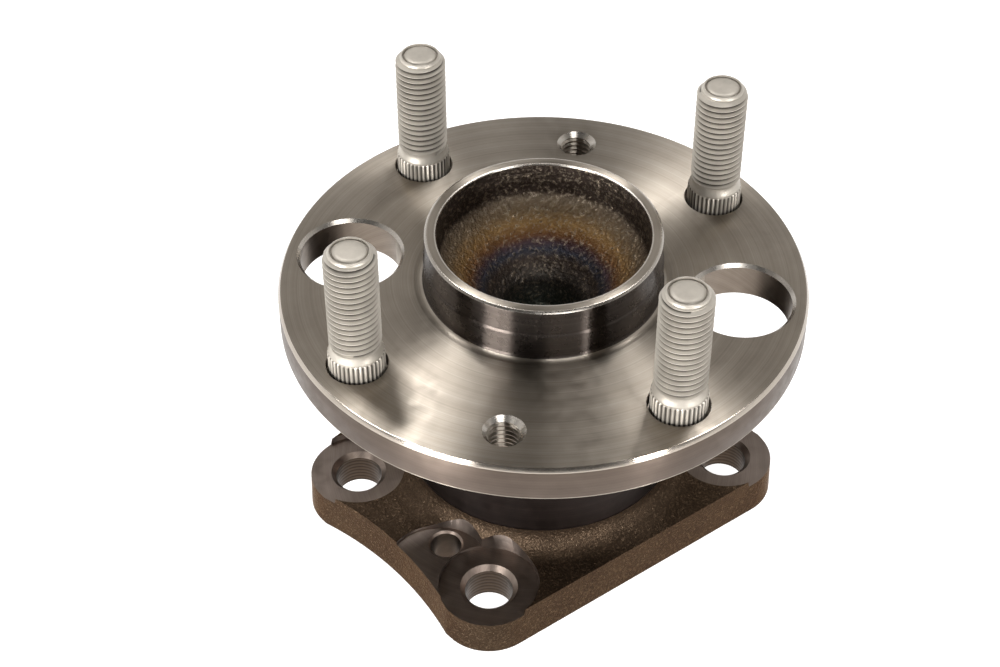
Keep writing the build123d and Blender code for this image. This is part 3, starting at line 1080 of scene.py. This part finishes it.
def move_points(piece, test, shift):
    """Moves the vertices that pass a test, which gets each one's place in millimetres."""
    only(piece)
    bpy.ops.object.mode_set(mode="EDIT")
    bpy.ops.mesh.select_mode(type="VERT")
    bpy.ops.mesh.select_all(action="DESELECT")
    bpy.ops.object.mode_set(mode="OBJECT")
    for vertex in piece.data.vertices:
        vertex.select = test(vertex.co / MM)
    bpy.ops.object.mode_set(mode="EDIT")
    bpy.ops.transform.translate(value=shift)
    bpy.ops.object.mode_set(mode="OBJECT")


def in_side_spot(place):
    """The side hole's spotface, with the countersunk edge of its hole."""
    floor = abs(place.z - SIDE_SPOT_Z) < 0.02
    edge = near_side_hole(place, SIDE_HOLE_R + 0.65) and place.z > SIDE_SPOT_Z - 0.7
    return floor or edge


def hollow_flank(ring):
    """Turns the flank between neck and plate into a fillet that runs out on the plate's top."""
    centre = (FLANK_R + FLANK_FILLET, PLATE_TOP + FLANK_FILLET)
    past_lobes = 62.0
    top = NECK_FOOT + 0.35
    section = [(past_lobes, PLATE_TOP), (past_lobes, top), (FLANK_R, top)]
    section += arc(centre, FLANK_FILLET, 180, 270, 12) + section[:1]
    carve(ring, lathe("flank_cutter", section, 180))
    move_points(ring, in_side_spot, (0, 0, SIDE_SPOT_LIFT * MM))


def dress_outer_ring():
    ring = merged_copy("outer_ring", "outer_ring_forging")
    hollow_flank(ring)
    edges_between(ring, is_hollow_edge)
    bpy.ops.mesh.bevel(offset=HOLLOW_ROUND * MM, segments=4, clamp_overlap=True)
    bpy.ops.object.mode_set(mode="OBJECT")
    paint(ring, [
        (NECK_SHADE_STEEL, on_neck),
        (BOLT_BORE, in_bolt_bore),
        (SIDE_BORE, in_side_bore),
        (BOLT_EDGE, on_bore_edge),
        (SPOT_STEEL, on_spotface),
        (SPOT_STEEL, on_spot_wall),
        (RING_STEEL, underneath),
        (FORGING, everywhere),
    ])
    smooth(ring, 30)
    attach(ring, "axle_side")
    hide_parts("outer_ring")


def finish_inside():
    """Gives every solid that stays as it is the finish of its own material."""
    for name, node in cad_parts.items():
        for start, material in INSIDE_FINISHES.items():
            if name.startswith(start):
                for slot in node.material_slots:
                    slot.material = material


# ---------------------------------------------------------------- finishes

TURNING = make_turning_group()
STAINS = make_stain_group()
FORGED = make_forged_group()
FEED = make_feed_group()

FACE_STEEL = turned_steel(
    "turned_face", (0.27, 0.235, 0.195), (0.4, 0.355, 0.3), 0.325, 1.0, 2600, 0.004 * MM
)
# The rim's turned steel, darker than the face's: painted shade.
RIM_SHADED_STEEL = turned_steel(
    "turned_rim_painted_shade", (0.1, 0.077, 0.063), (0.14, 0.11, 0.09), 0.33, 0.9, 2600, 0.006 * MM
)
# The spigot's ground steel, darkened to near black: painted shade for the dark surroundings it
# reflects.
PILOT_SHADED_STEEL = turned_steel(
    "ground_pilot_painted_shade", (0.05, 0.041, 0.036), (0.08, 0.067, 0.058), 0.28, 1.0, 5200, 0.0015 * MM, 0.3
)
CHAMFER_STEEL = turned_steel(
    "cut_chamfer", (0.3, 0.26, 0.22), (0.42, 0.38, 0.33), 0.16, 0.6, 4200, 0.002 * MM
)
# The broken edges, lighter than the face's steel: painted highlight.
EDGE_HIGHLIGHT_STEEL = turned_steel(
    "cut_edges_painted_highlight", (0.42, 0.385, 0.34), (0.55, 0.51, 0.46), 0.26, 0.3, 4200, 0.003 * MM
)
BORE_STEEL = turned_steel(
    "drilled_bores", (0.15, 0.12, 0.095), (0.24, 0.2, 0.165), 0.35, 0.3, 3600, 0.006 * MM
)
BOLT_EDGE = turned_steel(
    "bolt_hole_edges", (0.2, 0.155, 0.13), (0.3, 0.245, 0.205), 0.36, 0.3, 3600, 0.003 * MM
)
SPOT_STEEL = turned_steel(
    "spot_faces", (0.15, 0.12, 0.102), (0.23, 0.19, 0.165), 0.36, 0.6, 4600, 0.004 * MM
)
RING_STEEL = turned_steel(
    "ground_spigot", (0.3, 0.28, 0.25), (0.42, 0.39, 0.36), 0.28, 0.6, 4200, 0.003 * MM
)
# The neck's turned steel, darkened to near black: painted shade under the wheel flange.
NECK_SHADE_STEEL = turned_steel(
    "neck_painted_shade", (0.014, 0.0105, 0.0095), (0.028, 0.0205, 0.018), 0.44, 0.45, 3200, 0.004 * MM
)
BOLT_BORE = bored_steel(
    "bored_holes", (0.045, 0.031, 0.022), (0.088, 0.063, 0.046), 0.36, 1.07, 0.03 * MM
)
SIDE_BORE = turned_steel(
    "side_bore", (0.06, 0.042, 0.03), (0.1, 0.072, 0.052), 0.36, 0.3, 3600, 0.004 * MM
)
# The last colour is the painted shade in the stud's grooves.
STUD_ZINC = zinc_groove_shaded("zinc_groove_shaded", (0.385, 0.352, 0.305), (0.5, 0.46, 0.4), (0.05, 0.043, 0.036))
FORGING = forged_steel(
    "forged_skin", (0.028, 0.0185, 0.012), (0.047, 0.031, 0.02), (0.11, 0.076, 0.05),
    0.34, 2000, 0.22 * MM,
)
BOWL_SKIN = tinted_bowl("bowl_skin", 0.36, 1050, 0.5 * MM)

# The finishes of the solids that stay as they are, by the start of their names.
INSIDE_FINISHES = {
    "inner_ring": turned_steel(
        "ground_race", (0.42, 0.41, 0.4), (0.52, 0.51, 0.5), 0.18, 0.5, 5200, 0.001 * MM, 0.3
    ),
    "cage_": moulded(
        "cage_nylon", (0.028, 0.028, 0.027), (0.045, 0.045, 0.043), 0.42, 0.02 * MM
    ),
    "outboard_seal_case": rolled_sheet(
        "seal_case_sheet", (0.34, 0.335, 0.33), (0.46, 0.455, 0.45), 0.3
    ),
    "outboard_seal_lip": moulded(
        "seal_nitrile", (0.012, 0.012, 0.012), (0.024, 0.023, 0.022), 0.55, 0.015 * MM
    ),
    "encoder_carrier": rolled_sheet(
        "carrier_sheet", (0.36, 0.355, 0.35), (0.48, 0.475, 0.47), 0.28
    ),
    "encoder_magnet": moulded(
        "ferrite_rubber", (0.03, 0.028, 0.027), (0.055, 0.05, 0.048), 0.5, 0.01 * MM
    ),
    "inboard_cap": rolled_sheet("cap_sheet", (0.44, 0.44, 0.435), (0.56, 0.56, 0.55), 0.24),
    "ball_": polished("ball_polish", (0.6, 0.6, 0.61), (0.68, 0.68, 0.69)),
}

# ---------------------------------------------------------------- build

make_camera()
make_world()
make_floor()
softbox("left_bank", -149, 60, 2.0, (0.6, 0.22), 10.5)
softbox("right_bank", 146, 60, 2.0, (0.6, 0.22), 6.5)
softbox("front_lamp", 20, 46, 1.4, (0.6, 0.4), 5.0)
softbox("left_strip", -39, 8, 1.1, (0.42, 0.5), 19.0)
softbox("right_strip", 38, 8, 1.1, (0.16, 0.5), 8.0)
make_studs()
make_hub()
dress_outer_ring()
finish_inside()

bpy.context.scene.view_settings.view_transform = "Standard"
